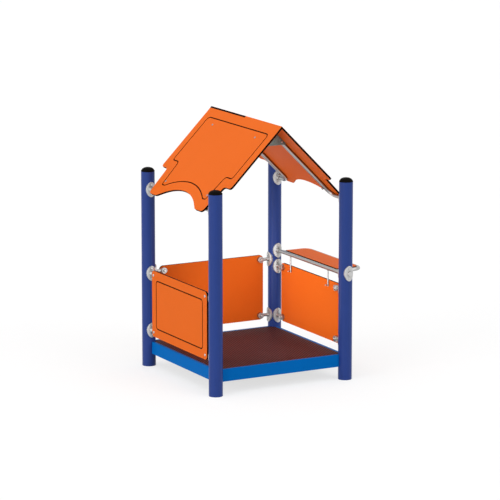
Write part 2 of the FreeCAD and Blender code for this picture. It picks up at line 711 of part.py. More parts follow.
panel_bolts = []
for side, (turn, run, depth, height) in PANELS.items():
    outward = direction_of(turn - 90)
    along = direction_of(turn)
    face = outward * value("post_spacing_%s / 2 + panel_offset + panel_thickness" % depth)
    bolt = fastener("bolt_diameter", value("panel_thickness + eye_thickness"), "bolt_diameter * nut_rise")
    for sign in (-1, 1):
        offset = along * (sign * value("post_spacing_%s / 2 - %s" % (run, EYE_PLACE)))
        for level in (LOWER_BOLT, "panel_bottom + %s - panel_bolt_edge" % height):
            panel_bolts += placed(bolt, face + offset + UP * value(level), outward)
feature("panel_bolts", Part.makeCompound(panel_bolts))

# --- Roof: two alike boards, one turned half round, that lap each other at the ridge ------------

EAVE = "(%s + roof_eave_past)" % BEND_SLOPE
FOOT = "(%s - roof_foot_before)" % BEND_SLOPE
ARCH_TOP = "(%s - lobe_gap / 2 * tan(arch_slope))" % EAVE
LAP = "(roof_thickness * max(tan(roof_pitch); 1 / sin(2 * roof_pitch)) + seat_gap)"


def roof_line(inset):
    """Half of the closed line that runs inside the edge of a roof board, then its mirror image."""
    tip = "roof_groove_eave - roof_groove_inset"
    top = "roof_groove_ridge - roof_groove_inset + (%s)" % inset
    side = "roof_length / 2 - (%s)" % inset
    foot = "%s - (%s)" % (FOOT, inset)
    leg = "leg_spread / 2 - (%s)" % inset
    low = "%s - (%s) - (%s)" % (EAVE, tip, inset)
    lobe = "lobe_spread / 2 - (%s)" % inset
    arch = "%s - (%s) / cos(arch_slope)" % (ARCH_TOP, inset)
    inner = "((%s) - (%s)) / tan(arch_slope)" % (low, arch)
    extra = "(%s - roof_groove_inset)" % inset
    half = [
        (top, side, "roof_groove_corner - " + extra),
        (foot, side, "foot_radius - " + extra),
        (foot, leg, "foot_radius + " + extra),
        (low, lobe, "roof_groove_tip - " + extra),
        (low, inner, "roof_groove_tip - " + extra),
    ]
    mirrored = [(x, "-(%s)" % y, radius) for x, y, radius in reversed(half)]
    return half + [(arch, "0", "arch_radius + (%s)" % inset)] + mirrored


roof_edge = [
    ("0", "seat_gap", "0"),
    ("0", "roof_length / 2", "0"),
    (FOOT, "roof_length / 2", "foot_radius"),
    (FOOT, "leg_spread / 2", "foot_radius"),
    (EAVE, "lobe_spread / 2", "lobe_outer_radius"),
    (EAVE, "lobe_gap / 2", "lobe_inner_radius"),
    (ARCH_TOP, "0", "arch_radius"),
    (EAVE, "-lobe_gap / 2", "lobe_inner_radius"),
    (EAVE, "-lobe_spread / 2", "lobe_outer_radius"),
    (FOOT, "-leg_spread / 2", "foot_radius"),
    (FOOT, "-roof_length / 2", "foot_radius"),
    (LAP, "-roof_length / 2", "0"),
    (LAP, "seat_gap", "0"),
]
roof_holes = [(x, sign + RAFTER_Y, "screw_diameter / 2 + hole_play")
              for x in ("roof_bolt_upper", "roof_bolt_lower") for sign in ("", "-")]
for side, turn in (("right", 0), ("left", 180)):
    made = grooved_board("RoofBoard", roof_edge,
                         [roof_line("roof_groove_inset"), roof_line("roof_groove_inset + groove_width")],
                         "roof_thickness", roof_holes)
    slope = Rotation(UP, turn) * Rotation(ACROSS, value("roof_pitch"))
    put(made, z=RIDGE, turn=slope)
    keep(made, "roof_board_" + side)


# --- Rafters: bent tubes from a saddle on each post up to a plate below the ridge ---------------

pitch = math.radians(value("roof_pitch"))
ridge = value(RIDGE)
axis_depth = value(AXIS_DEPTH)
tube_radius = value(TUBE_RADIUS)
tube_inside = tube_radius - value("tube_wall")
tube_and_gaps = tube_radius * 2 + value("seat_gap") * 2


def axis_point(x, y):
    """The point of a rafter's straight run above a distance from the ridge plane."""
    return Vector(x, y, ridge - axis_depth / math.cos(pitch) - abs(x) * math.tan(pitch))


roof_screw = fastener("screw_diameter", value("roof_thickness") + tube_and_gaps, "roof_nut_length")
gusset_bolt = fastener("screw_diameter", value("gusset_thickness") + tube_and_gaps,
                       "screw_diameter * nut_rise")
roof_screws = []
gusset_bolts = []
for post, (side_x, side_y, _) in POSTS.items():
    side_y_rafter = side_y * value(RAFTER_Y)
    centre = post_centre(post, RAFTER_FOOT)
    bend = Vector(side_x * value(BEND_X), side_y_rafter, value(RAFTER_FOOT))
    start = centre + (bend - centre).normalize() * value(SADDLE_FACE + " + seat_gap")
    path = [start, bend, axis_point(side_x * value("rafter_top_gap"), side_y_rafter)]
    bend_radius = value("rafter_bend")
    rafter = bent_bar(path, bend_radius, tube_radius).cut(bent_bar(path, bend_radius, tube_inside))
    outward = Vector(side_x * math.sin(pitch), 0, math.cos(pitch))
    down = Vector(side_x * math.cos(pitch), 0, -math.sin(pitch))
    for slope in ("roof_bolt_upper", "roof_bolt_lower"):
        head = Vector(0, side_y_rafter, ridge) + down * value(slope)
        rafter = rafter.cut(drill(head, outward, "screw_diameter", axis_depth * 2))
        roof_screws += placed(roof_screw, head, outward)
    for distance in ("gusset_bolt_inner", "gusset_bolt_outer"):
        middle = axis_point(side_x * value(distance), side_y_rafter)
        rafter = rafter.cut(drill(middle, ACROSS, "screw_diameter", axis_depth))
        step = tube_radius + value("seat_gap + gusset_thickness")
        gusset_bolts += placed(gusset_bolt, middle + ACROSS * (side_y * step), ACROSS * side_y)
    feature("rafter_" + post, rafter)
feature("roof_screws", Part.makeCompound(roof_screws))
feature("gusset_bolts", Part.makeCompound(gusset_bolts))

for side, side_y in (("front", -1), ("rear", 1)):
    made, sketch = body("Gusset")
    plate = sketch("XZ_Plane", "GussetPlate")
    apex = "((roof_thickness + board_play) / cos(roof_pitch))"
    base = "(%s + gusset_height)" % apex
    half_base = "(gusset_height / tan(roof_pitch))"
    outline(plate, [
        ("0", "-" + apex, "gusset_corner"),
        ("-" + half_base, "-" + base, "gusset_corner"),
        (half_base, "-" + base, "gusset_corner"),
    ])
    pad(made, plate, "gusset_thickness", "Symmetric")
    drilling = sketch("XZ_Plane", "GussetHoles")
    for distance in ("gusset_bolt_inner", "gusset_bolt_outer"):
        below = "-(%s / cos(roof_pitch) + %s * tan(roof_pitch))" % (AXIS_DEPTH, distance)
        for sign in ("", "-"):
            circle(drilling, sign + distance, below, "screw_diameter / 2 + hole_play")
    pocket(made, drilling)
    push = "(%s + %s + seat_gap + gusset_thickness / 2)" % (RAFTER_Y, TUBE_RADIUS)
    put(made, y="%d * %s" % (side_y, push), z=RIDGE)
    keep(made, "ridge_gusset_" + side)

# --- Counter: a board in a welded ring of tube outside the right-hand side ----------------------

bar_x = value("post_spacing_x / 2")
level = value("counter_level")
bar_end = value("post_spacing_y / 2 - %s - seat_gap" % SADDLE_FACE)
loop_x = value(COUNTER_OUTER + " + counter_gap") + tube_radius
loop_y = value(COUNTER_HALF + " + counter_gap") + tube_radius
loop_bend = value("counter_corner + counter_gap") + tube_radius
bar_path = [Vector(bar_x, side * bar_end, level) for side in (-1, 1)]
loop_path = [
    Vector(bar_x, -loop_y, level),
    Vector(loop_x, -loop_y, level),
    Vector(loop_x, loop_y, level),
    Vector(bar_x, loop_y, level),
]
outside = bent_bar(loop_path, loop_bend, tube_radius).fuse(bent_bar(bar_path, 0, tube_radius))
inside = bent_bar(loop_path, loop_bend, tube_inside).fuse(bent_bar(bar_path, 0, tube_inside))
feature("counter_frame", outside.cut(inside))

made, sketch = body("CounterBoard")
board = sketch("XY_Plane", "CounterOutline")
outline(board, [
    (COUNTER_INNER, "-" + COUNTER_HALF, "0"),
    (COUNTER_OUTER, "-" + COUNTER_HALF, "counter_corner"),
    (COUNTER_OUTER, COUNTER_HALF, "counter_corner"),
    (COUNTER_INNER, COUNTER_HALF, "0"),
])
pad(made, board, "counter_thickness")
pilots = sketch("XY_Plane", "CounterPilots")
STRAP_SCREWS = [COUNTER_INNER + " + strap_screw_side", COUNTER_OUTER + " - strap_screw_side"]
for x in STRAP_SCREWS:
    for sign in ("", "-"):
        circle(pilots, x, sign + "strap_spread / 2", "small_screw_diameter / 2 + hole_play")
pocket(made, pilots, "strap_screw_bite + seat_gap", backwards=True)
BOARD_UNDERSIDE = "(counter_level + counter_rise - counter_thickness)"
put(made, z=BOARD_UNDERSIDE)
keep(made, "counter_board")

counter_screws = []
rod_bolts = []
counter_screw = fastener("small_screw_diameter", value("strap_thickness + strap_screw_bite"))
rod_bolt = fastener("small_screw_diameter", value("panel_thickness + rod_diameter + seat_gap * 2"),
                    "rod_nut_length")
for side, side_y in (("front", -1), ("rear", 1)):
    made, sketch = body("CounterStrap")
    flat = sketch("XY_Plane", "StrapFlat")
    middle = "%d * strap_spread / 2" % side_y
    outline(flat, rectangle(COUNTER_INNER + " - counter_gap + seat_gap",
                            COUNTER_OUTER + " + counter_gap - seat_gap",
                            middle + " - strap_width / 2", middle + " + strap_width / 2"))
    pad(made, flat, "strap_thickness")
    drilling = sketch("XY_Plane", "StrapHoles")
    for x in STRAP_SCREWS:
        circle(drilling, x, middle, "small_screw_diameter / 2 + hole_play")
        head = Vector(value(x), value(middle), value(BOARD_UNDERSIDE + " - strap_thickness"))
        counter_screws += placed(counter_screw, head, -UP)
    pocket(made, drilling)
    put(made, z=BOARD_UNDERSIDE + " - strap_thickness")
    keep(made, "counter_strap_" + side)

    rod_x = value("post_spacing_x / 2 + panel_offset - seat_gap - rod_diameter / 2")
    rod_top = level - tube_radius - value("seat_gap")
    bolt_level = value("panel_bottom + counter_panel_height - rod_bolt_drop")
    foot = Vector(rod_x, side_y * value("rod_spread / 2"), bolt_level - value("rod_tail"))
    middle = Vector(foot.x, foot.y, bolt_level)
    rod = Part.makeCylinder(value("rod_diameter / 2"), rod_top - foot.z, foot)
    rod = rod.cut(drill(middle, ALONG, "small_screw_diameter", value("rod_diameter")))
    feature("counter_rod_" + side, rod)
    head = middle + ALONG * value("rod_diameter / 2 + seat_gap + panel_thickness")
    rod_bolts += placed(rod_bolt, head, ALONG)
feature("counter_screws", Part.makeCompound(counter_screws))
feature("counter_rod_bolts", Part.makeCompound(rod_bolts))

# --- Check every object and write the sub-parts -------------------------------------------------

document.recompute()
for thing in document.Objects:
    if "Invalid" in thing.State or "Error" in thing.State:
        raise RuntimeError("%s (%s) did not compute" % (thing.Label, thing.Name))
    previous = getattr(thing, "BaseFeature", None)
    if thing.TypeId == "PartDesign::Pocket" and thing.Shape.Volume > previous.Shape.Volume - 1:
        raise RuntimeError("%s cut nothing" % thing.Name)
os.makedirs("parts", exist_ok=True)
for thing in sub_parts:
    if thing.Shape.isNull() or not thing.Shape.isValid() or not thing.Shape.Solids:
        raise RuntimeError("%s has no valid solid" % thing.Label)
    thing.Shape.exportStep(os.path.join("parts", thing.Label + ".step"))
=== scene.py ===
import math

import bpy
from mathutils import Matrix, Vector


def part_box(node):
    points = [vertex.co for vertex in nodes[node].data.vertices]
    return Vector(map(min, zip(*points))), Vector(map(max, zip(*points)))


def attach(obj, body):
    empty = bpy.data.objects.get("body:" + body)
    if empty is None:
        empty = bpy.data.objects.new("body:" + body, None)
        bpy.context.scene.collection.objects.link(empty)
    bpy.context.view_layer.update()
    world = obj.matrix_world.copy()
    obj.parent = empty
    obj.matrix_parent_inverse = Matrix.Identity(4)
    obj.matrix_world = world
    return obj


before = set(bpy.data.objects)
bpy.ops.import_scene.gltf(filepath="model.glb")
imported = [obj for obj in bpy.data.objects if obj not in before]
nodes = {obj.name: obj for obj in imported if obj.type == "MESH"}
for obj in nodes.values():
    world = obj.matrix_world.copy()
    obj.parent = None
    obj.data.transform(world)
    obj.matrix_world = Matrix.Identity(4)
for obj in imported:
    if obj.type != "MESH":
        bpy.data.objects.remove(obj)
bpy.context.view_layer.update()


# --- Camera -----------------------------------------------------------------------------------
# A long lens a good way off, raised a little and turned to the left of the entrance, so that the
# open side, the left panel and the counter all show.

AIM = Vector((0.018, -0.028, 0.923))
CAMERA_DISTANCE = 22.427
CAMERA_TURN = math.radians(-28.414)
CAMERA_RISE = math.radians(11.518)
FILM_WIDTH = 36.0
LENS_LENGTH = 219.9
FARTHEST_SEEN = 200.0

towards_camera = Vector((
    math.sin(CAMERA_TURN) * math.cos(CAMERA_RISE),
    -math.cos(CAMERA_TURN) * math.cos(CAMERA_RISE),
    math.sin(CAMERA_RISE),
))
camera = bpy.data.objects.new("camera", bpy.data.cameras.new("camera"))
camera.data.sensor_width = FILM_WIDTH
camera.data.lens = LENS_LENGTH
camera.data.clip_end = FARTHEST_SEEN
camera.location = AIM + towards_camera * CAMERA_DISTANCE
camera.rotation_euler = towards_camera.to_track_quat("Z", "Y").to_euler()
bpy.context.scene.collection.objects.link(camera)
bpy.context.scene.camera = camera


# --- Studio -----------------------------------------------------------------------------------
# A white floor below an even white dome.  Three wide lamps light the left side most, the top next
# and the entrance least, and three soft boxes fill the room.  The floor keeps a faint shadow.

WHITE = (1.0, 1.0, 1.0, 1.0)
DOME_LEVEL = 0.54
FLOOR_REACH = 400.0
FLOOR_COLOUR = (0.62, 0.62, 0.62, 1.0)
FLOOR_SEEN_COLOUR = (0.34, 0.34, 0.34, 1.0)
FLOOR_SEEN_GLOW = 0.685


def add_node(tree, kind, settings=None, values=None):
    """A node of a tree, with its settings and the values of its input sockets."""
    node = tree.nodes.new(kind)
    for name, setting in (settings or {}).items():
        setattr(node, name, setting)
    for socket, value in (values or {}).items():
        node.inputs[socket].default_value = value
    return node


def join(tree, *pairs):
    """Link output sockets to input sockets."""
    for source, target in pairs:
        tree.links.new(source, target)


def math_node(tree, operation, first, second=None, third=None):
    """The result of a Math node whose inputs are numbers or sockets."""
    node = add_node(tree, "ShaderNodeMath", {"operation": operation})
    for socket, value in zip(node.inputs, (first, second, third)):
        if isinstance(value, (int, float)):
            socket.default_value = value
        elif value is not None:
            join(tree, (value, socket))
    return node.outputs[0]


def mix_colours(tree, factor, first, second):
    """A mix of two colours, each one given as a colour or a socket."""
    mix = add_node(tree, "ShaderNodeMix", {"data_type": "RGBA"})
    join(tree, (factor, mix.inputs["Factor"]))
    for socket, colour in ((mix.inputs[6], first), (mix.inputs[7], second)):
        if isinstance(colour, tuple):
            socket.default_value = colour
        else:
            join(tree, (colour, socket))
    return mix.outputs[2]


def seen_straight(tree):
    """1 for what the camera sees, straight or in a gloss or a glass."""
    path = add_node(tree, "ShaderNodeLightPath")
    seen = math_node(tree, "MAXIMUM", path.outputs["Is Camera Ray"], path.outputs["Is Glossy Ray"])
    return math_node(tree, "MAXIMUM", seen, path.outputs["Is Transmission Ray"])


world = bpy.data.worlds.new("studio_dome")
bpy.context.scene.world = world
world.use_nodes = True
dome = world.node_tree
dome.nodes.clear()
strength = math_node(dome, "MULTIPLY_ADD", seen_straight(dome), 1.0 - DOME_LEVEL, DOME_LEVEL)
background = add_node(dome, "ShaderNodeBackground", values={"Color": WHITE})
dome_out = add_node(dome, "ShaderNodeOutputWorld")
join(dome, (strength, background.inputs["Strength"]), (background.outputs[0], dome_out.inputs["Surface"]))

SKY_LAMPS = [
    # name, direction that it stands in, strength, width in degrees
    ("left_lamp", (-0.96, -0.18, 0.17), 1.68, 50.0),
    ("front_lamp", (0.40, -0.76, 0.46), 0.62, 40.0),
    ("top_lamp", (-0.10, -0.10, 1.00), 0.76, 70.0),
]
for name, direction, strength, width in SKY_LAMPS:
    lamp = bpy.data.objects.new(name, bpy.data.lights.new(name, "SUN"))
    lamp.data.energy = strength
    lamp.data.angle = math.radians(width)
    lamp.rotation_euler = Vector(direction).to_track_quat("Z", "Y").to_euler()
    bpy.context.scene.collection.objects.link(lamp)

SOFT_BOXES = [
    # name, place, direction that it lights, size, spread in degrees, power
    ("entrance_box", (0.20, -0.47, 0.55), (0.05, 1.0, 0.0), 0.7, 120.0, 1.0),
    ("room_box", (-0.45, 0.08, 0.50), (1.0, 0.0, 0.0), 0.6, 110.0, 1.9),
    ("roof_box", (-0.20, 0.0, 1.05), (0.70, 0.0, 0.70), 0.8, 120.0, 0.65),
]
for name, place, direction, size, spread, power in SOFT_BOXES:
    lamp = bpy.data.objects.new(name, bpy.data.lights.new(name, "AREA"))
    lamp.data.size = size
    lamp.data.spread = math.radians(spread)
    lamp.data.energy = power
    lamp.data.specular_factor = 0.0
    lamp.location = place
    lamp.rotation_euler = Vector(direction).to_track_quat("-Z", "Y").to_euler()
    lamp.visible_camera = False
    bpy.context.scene.collection.objects.link(lamp)

floor_corners = [
    (-FLOOR_REACH, -FLOOR_REACH, 0.0),
    (FLOOR_REACH, -FLOOR_REACH, 0.0),
    (FLOOR_REACH, FLOOR_REACH, 0.0),
    (-FLOOR_REACH, FLOOR_REACH, 0.0),
]
floor_mesh = bpy.data.meshes.new("studio_floor")
floor_mesh.from_pydata(floor_corners, [], [(0, 1, 2, 3)])
studio_floor = bpy.data.objects.new("studio_floor", floor_mesh)
bpy.context.scene.collection.objects.link(studio_floor)
white_floor = bpy.data.materials.new("white_floor")
white_floor.use_nodes = True
tree = white_floor.node_tree
shader = tree.nodes["Principled BSDF"]
shader.inputs["Roughness"].default_value = 1.0
shader.inputs["Specular IOR Level"].default_value = 0.0
shader.inputs["Emission Color"].default_value = WHITE
seen = seen_straight(tree)
join(tree,
     (mix_colours(tree, seen, FLOOR_COLOUR, FLOOR_SEEN_COLOUR), shader.inputs["Base Color"]),
     (math_node(tree, "MULTIPLY", seen, FLOOR_SEEN_GLOW), shader.inputs["Emission Strength"]))
studio_floor.data.materials.append(white_floor)

bpy.context.scene.view_settings.view_transform = "Standard"


# --- Posts ------------------------------------------------------------------------------------
# Four steel tubes, galvanised and powder coated dark blue.  The coat is smooth and a little
# glossy, with the faint peel that a stoved powder leaves.

POST_BLUE = (0.020, 0.050, 0.235, 1.0)
DUST_COLOUR = (0.45, 0.42, 0.38, 1.0)


def start_group(name, inputs, outputs):
    """A shader group with its sockets made: inputs are (name, type, value), outputs (name, type)."""
    group = bpy.data.node_groups.new(name, "ShaderNodeTree")
    for label, kind, value in inputs:
        socket = group.interface.new_socket(label, in_out="INPUT", socket_type="NodeSocket" + kind)
        socket.default_value = value
    for label, kind in outputs:
        group.interface.new_socket(label, in_out="OUTPUT", socket_type="NodeSocket" + kind)
    return group, add_node(group, "NodeGroupInput"), add_node(group, "NodeGroupOutput")


def place_group(tree, group, values):
    """A shader group placed in a material with its own values."""
    node = add_node(tree, "ShaderNodeGroup", {"node_tree": group})
    for name, value in values.items():
        node.inputs[name].default_value = value
    return node


# Grain: the fine lumps of a coat, skin or casting, as a normal and as a mask that varies.
grain, given, result = start_group(
    "surface_grain",
    [("Grain Size", "Float", 0.001), ("Height", "Float", 0.0001), ("Strength", "Float", 0.3)],
    [("Normal", "Vector"), ("Grain", "Float")],
)
place = add_node(grain, "ShaderNodeTexCoord")
lumps = add_node(grain, "ShaderNodeTexNoise", values={"Detail": 3.0, "Roughness": 0.55})
raised = add_node(grain, "ShaderNodeBump")
join(
    grain,
    (place.outputs["Object"], lumps.inputs["Vector"]),
    (math_node(grain, "DIVIDE", 1.0, given.outputs["Grain Size"]), lumps.inputs["Scale"]),
    (lumps.outputs["Fac"], raised.inputs["Height"]),
    (given.outputs["Height"], raised.inputs["Distance"]),
    (given.outputs["Strength"], raised.inputs["Strength"]),
    (raised.outputs["Normal"], result.inputs["Normal"]),
    (lumps.outputs["Fac"], result.inputs["Grain"]),
)

# Weather: broad patches a little lighter or darker, and a film of dust on what faces up.
weather, given, result = start_group(
    "weather",
    [("Color", "Color", WHITE), ("Patch Size", "Float", 0.3), ("Patchiness", "Float", 0.1),
     ("Dust", "Float", 0.02)],
    [("Color", "Color"), ("Patches", "Float")],
)
place = add_node(weather, "ShaderNodeTexCoord")
patches = add_node(weather, "ShaderNodeTexNoise", values={"Detail": 4.0, "Roughness": 0.6})
facing = add_node(weather, "ShaderNodeSeparateXYZ")
toned = add_node(weather, "ShaderNodeHueSaturation")
off_even = math_node(weather, "SUBTRACT", patches.outputs["Fac"], 0.5)
dust = math_node(weather, "MULTIPLY", math_node(weather, "MAXIMUM", facing.outputs["Z"], 0.0),
                 patches.outputs["Fac"])
dust = math_node(weather, "MULTIPLY", dust, given.outputs["Dust"])
join(
    weather,
    (place.outputs["Object"], patches.inputs["Vector"]),
    (math_node(weather, "DIVIDE", 1.0, given.outputs["Patch Size"]), patches.inputs["Scale"]),
    (place.outputs["Normal"], facing.inputs["Vector"]),
    (math_node(weather, "MULTIPLY_ADD", off_even, given.outputs["Patchiness"], 1.0), toned.inputs["Value"]),
    (given.outputs["Color"], toned.inputs["Color"]),
    (mix_colours(weather, dust, toned.outputs["Color"], DUST_COLOUR), result.inputs["Color"]),
    (patches.outputs["Fac"], result.inputs["Patches"]),
)

# Edges: a painted highlight that lightens every edge, told by how a rounded edge would lean away.
edges, given, result = start_group(
    "painted_edge_highlights",
    [("Color", "Color", WHITE), ("Highlight Color", "Color", WHITE),
     ("Width", "Float", 0.002), ("Highlight Gain", "Float", 2.0)],
    [("Color", "Color"), ("Edge", "Float")],
)
rounded = add_node(edges, "ShaderNodeBevel", {"samples": 8})
surface = add_node(edges, "ShaderNodeNewGeometry")
lean = add_node(edges, "ShaderNodeVectorMath", {"operation": "DOT_PRODUCT"})
highlight_mask = math_node(edges, "MULTIPLY", math_node(edges, "SUBTRACT", 1.0, lean.outputs["Value"]),
                given.outputs["Highlight Gain"])
highlight_mask = math_node(edges, "MINIMUM", math_node(edges, "MAXIMUM", highlight_mask, 0.0), 1.0)
join(
    edges,
    (given.outputs["Width"], rounded.inputs["Radius"]),
    (rounded.outputs["Normal"], lean.inputs[0]),
    (surface.outputs["Normal"], lean.inputs[1]),
    (mix_colours(edges, highlight_mask, given.outputs["Color"], given.outputs["Highlight Color"]), result.inputs["Color"]),
    (highlight_mask, result.inputs["Edge"]),
)


def new_finish(name, roughness, metallic=0.0, specular=0.5):
    """A material with its Principled shader, the uniform values set on the shader itself."""
    finish = bpy.data.materials.new(name)
    finish.use_nodes = True
    shader = finish.node_tree.nodes["Principled BSDF"]
    shader.inputs["Roughness"].default_value = roughness
    shader.inputs["Metallic"].default_value = metallic
    shader.inputs["Specular IOR Level"].default_value = specular
    return finish, finish.node_tree, shader


def vary_roughness(tree, shader, mask, low, high):
    """Roughness that runs between two values with a mask."""
    spread = add_node(tree, "ShaderNodeMapRange", values={"To Min": low, "To Max": high})
    join(tree, (mask, spread.inputs["Value"]), (spread.outputs["Result"], shader.inputs["Roughness"]))


def lay_grain(tree, shader, size, height, strength):
    """Grain laid on a shader, its lumps given by their size and height in metres."""
    skin = place_group(tree, grain, {"Grain Size": size, "Height": height, "Strength": strength})
    join(tree, (skin.outputs["Normal"], shader.inputs["Normal"]))
    return skin


def wear_down(tree, colour, patch_size, patchiness, dust):
    """A colour varied in patches and a little dusty."""
    return place_group(
        tree,
        weather,
        {"Color": colour, "Patch Size": patch_size, "Patchiness": patchiness, "Dust": dust},
    )


def powder_coat(name, colour, roughness, specular):
    """Stoved powder coat on steel."""
    finish, tree, shader = new_finish(name, roughness, specular=specular)
    lay_grain(tree, shader, size=0.0016, height=0.00012, strength=0.22)
    worn = wear_down(tree, colour, patch_size=0.18, patchiness=0.10, dust=0.02)
    # The edges are made paler: a painted highlight.
    highlight_tint = tuple(min(1.0, channel * 1.5 + 0.004) for channel in colour[:3]) + (1.0,)
    highlight_node = place_group(tree, edges, {"Highlight Color": highlight_tint, "Width": 0.0015, "Highlight Gain": 1.6})
    vary_roughness(tree, shader, worn.outputs["Patches"], roughness - 0.06, roughness + 0.10)
    join(tree,
         (worn.outputs["Color"], highlight_node.inputs["Color"]),
         (highlight_node.outputs["Color"], shader.inputs["Base Color"]))
    return finish


def dress(names, finish):
    """Give CAD nodes a finish."""
    for name in names:
        node = nodes[name]
        node.data.materials.clear()
        node.data.materials.append(finish)


def nodes_named(*starts):
    """The names of the CAD nodes that start with one of these."""
    return sorted(name for name in nodes if name.startswith(starts))


CORNERS = ("front_left", "front_right", "rear_right", "rear_left")
dress(["post_" + corner for corner in CORNERS], powder_coat("post_powder_coat", POST_BLUE, 0.34, 0.18))


# --- Post caps --------------------------------------------------------------------------------
# Black domes of tough plastic, pressed into the tops of the posts.  The mould leaves them with a
# fine matte skin.

CAP_BLACK = (0.0022, 0.0016, 0.0012, 1.0)


def moulded_plastic(name, colour, roughness):
    """Injection-moulded plastic with a fine spark-eroded skin."""
    finish, tree, shader = new_finish(name, roughness, specular=0.03)
    skin = lay_grain(tree, shader, size=0.0009, height=0.00008, strength=0.35)
    worn = wear_down(tree, colour, patch_size=0.05, patchiness=0.10, dust=0.01)
    vary_roughness(tree, shader, skin.outputs["Grain"], roughness - 0.08, roughness + 0.08)
    join(tree, (worn.outputs["Color"], shader.inputs["Base Color"]))
    return finish


dress(nodes_named("post_cap"), moulded_plastic("cap_plastic", CAP_BLACK, 0.56))


# --- Deck rails -------------------------------------------------------------------------------
# Four rails of folded sheet steel in a brighter blue powder coat.  Their top lip frames the floor
# board all round.

RAIL_BLUE = (0.0, 0.140, 0.49, 1.0)
dress(nodes_named("deck_rail"), powder_coat("rail_powder_coat", RAIL_BLUE, 0.5, 0.03))


# --- Corner brackets --------------------------------------------------------------------------
# Plates bent round the posts below the deck and left galvanised.  The zinc froze in flakes, each
# a slightly different grey.  A painted highlight makes its edges a little brighter, and painted
# shade darkens its recesses.

ZINC_GREY = (0.20, 0.26, 0.245, 1.0)
# The edge colour is a painted highlight.
ZINC_EDGE_HIGHLIGHT = (0.42, 0.46, 0.45, 1.0)
FLAKE_SIZE = 0.007
FLAKE_DARKEST = 0.80
FLAKE_SPREAD = 0.40
# The colour of the painted shade in recesses.
PAINTED_SHADE_COLOUR = (0.012, 0.012, 0.013, 1.0)

# Recesses: painted shade that darkens sockets, below heads and where two pieces meet.
recesses, given, result = start_group(
    "painted_recess_shade",
    [("Color", "Color", WHITE), ("Reach", "Float", 0.006), ("Darkness", "Float", 0.8)],
    [("Color", "Color"), ("Recess", "Float")],
)
openness = add_node(recesses, "ShaderNodeAmbientOcclusion", {"samples": 12})
recess = math_node(recesses, "MULTIPLY", math_node(recesses, "SUBTRACT", 1.0, openness.outputs["AO"]),
                   given.outputs["Darkness"])
join(
    recesses,
    (given.outputs["Reach"], openness.inputs["Distance"]),
    (mix_colours(recesses, recess, given.outputs["Color"], PAINTED_SHADE_COLOUR), result.inputs["Color"]),
    (recess, result.inputs["Recess"]),
)


def bare_metal(name, roughness, colour, highlight_colour, edge_width, patchiness, reach, darkness):
    """Metal with no paint, with a painted highlight at its edges and painted shade in recesses nearer than
    its reach.
    """
    finish, tree, shader = new_finish(name, roughness, metallic=1.0)
    worn = wear_down(tree, colour, patch_size=0.04, patchiness=patchiness, dust=0.01)
    highlight_node = place_group(tree, edges, {"Highlight Color": highlight_colour, "Width": edge_width, "Highlight Gain": 3.0})
    shade_node = place_group(tree, recesses, {"Reach": reach, "Darkness": darkness})
    vary_roughness(tree, shader, worn.outputs["Patches"], roughness - 0.08, roughness + 0.12)
    join(tree,
         (worn.outputs["Color"], highlight_node.inputs["Color"]),
         (highlight_node.outputs["Color"], shade_node.inputs["Color"]),
         (shade_node.outputs["Color"], shader.inputs["Base Color"]))
    return finish, tree, shader, worn


zinc, tree, shader, worn = bare_metal("galvanised_plate", 0.45, ZINC_GREY, ZINC_EDGE_HIGHLIGHT, edge_width=0.0012,
                                      patchiness=0.20, reach=0.008, darkness=0.6)
place = add_node(tree, "ShaderNodeTexCoord")
flakes = add_node(tree, "ShaderNodeTexVoronoi", values={"Scale": 1.0 / FLAKE_SIZE})
flake_tone = add_node(tree, "ShaderNodeSeparateColor")
toned = add_node(tree, "ShaderNodeHueSaturation", values={"Color": ZINC_GREY})
frozen = add_node(tree, "ShaderNodeBump", values={"Distance": 0.00005, "Strength": 0.4})
join(
    tree,
    (place.outputs["Object"], flakes.inputs["Vector"]),
    (flakes.outputs["Color"], flake_tone.inputs["Color"]),
    (math_node(tree, "MULTIPLY_ADD", flake_tone.outputs["Red"], FLAKE_SPREAD, FLAKE_DARKEST),
     toned.inputs["Value"]),
    (toned.outputs["Color"], worn.inputs["Color"]),
    (flakes.outputs["Distance"], frozen.inputs["Height"]),
    (frozen.outputs["Normal"], shader.inputs["Normal"]),
)
dress(["deck_bracket_" + corner for corner in CORNERS], zinc)


# --- Deck floor -------------------------------------------------------------------------------
# A film-faced board, red-brown, with a raised wire mesh pressed into its film against slipping.

WIRE_BROWN = (0.165, 0.046, 0.045, 1.0)
FILM_BROWN = (0.009, 0.0024, 0.0024, 1.0)
MESH_PITCH = 0.0197
WIRE_SHARPNESS = 8.0

film, tree, shader = new_finish("floor_film", 0.6, specular=0.05)
place = add_node(tree, "ShaderNodeTexCoord")
across = add_node(tree, "ShaderNodeSeparateXYZ")
join(tree, (place.outputs["Object"], across.inputs["Vector"]))
wires = []
for direction in ("ADD", "SUBTRACT"):
    along = math_node(tree, direction, across.outputs["X"], across.outputs["Y"])
    turns = math_node(tree, "MULTIPLY", along, math.pi / MESH_PITCH / math.sqrt(2.0))
    wires.append(math_node(tree, "ABSOLUTE", math_node(tree, "COSINE", turns)))
wire = math_node(tree, "POWER", math_node(tree, "MAXIMUM", *wires), WIRE_SHARPNESS)
scuffed = place_group(tree, weather, {"Patch Size": 0.25, "Patchiness": 0.25, "Dust": 0.02})
raised = add_node(tree, "ShaderNodeBump", values={"Distance": 0.0006, "Strength": 0.6})
join(
    tree,
    (mix_colours(tree, wire, FILM_BROWN, WIRE_BROWN), scuffed.inputs["Color"]),
    (scuffed.outputs["Color"], shader.inputs["Base Color"]),
    (wire, raised.inputs["Height"]),
    (raised.outputs["Normal"], shader.inputs["Normal"]),
)
dress(["deck_floor"], film)


# --- Panels -----------------------------------------------------------------------------------
# Three boards of coloured outdoor plastic, orange skins on a black core, so that every edge and
# every routed line shows black.

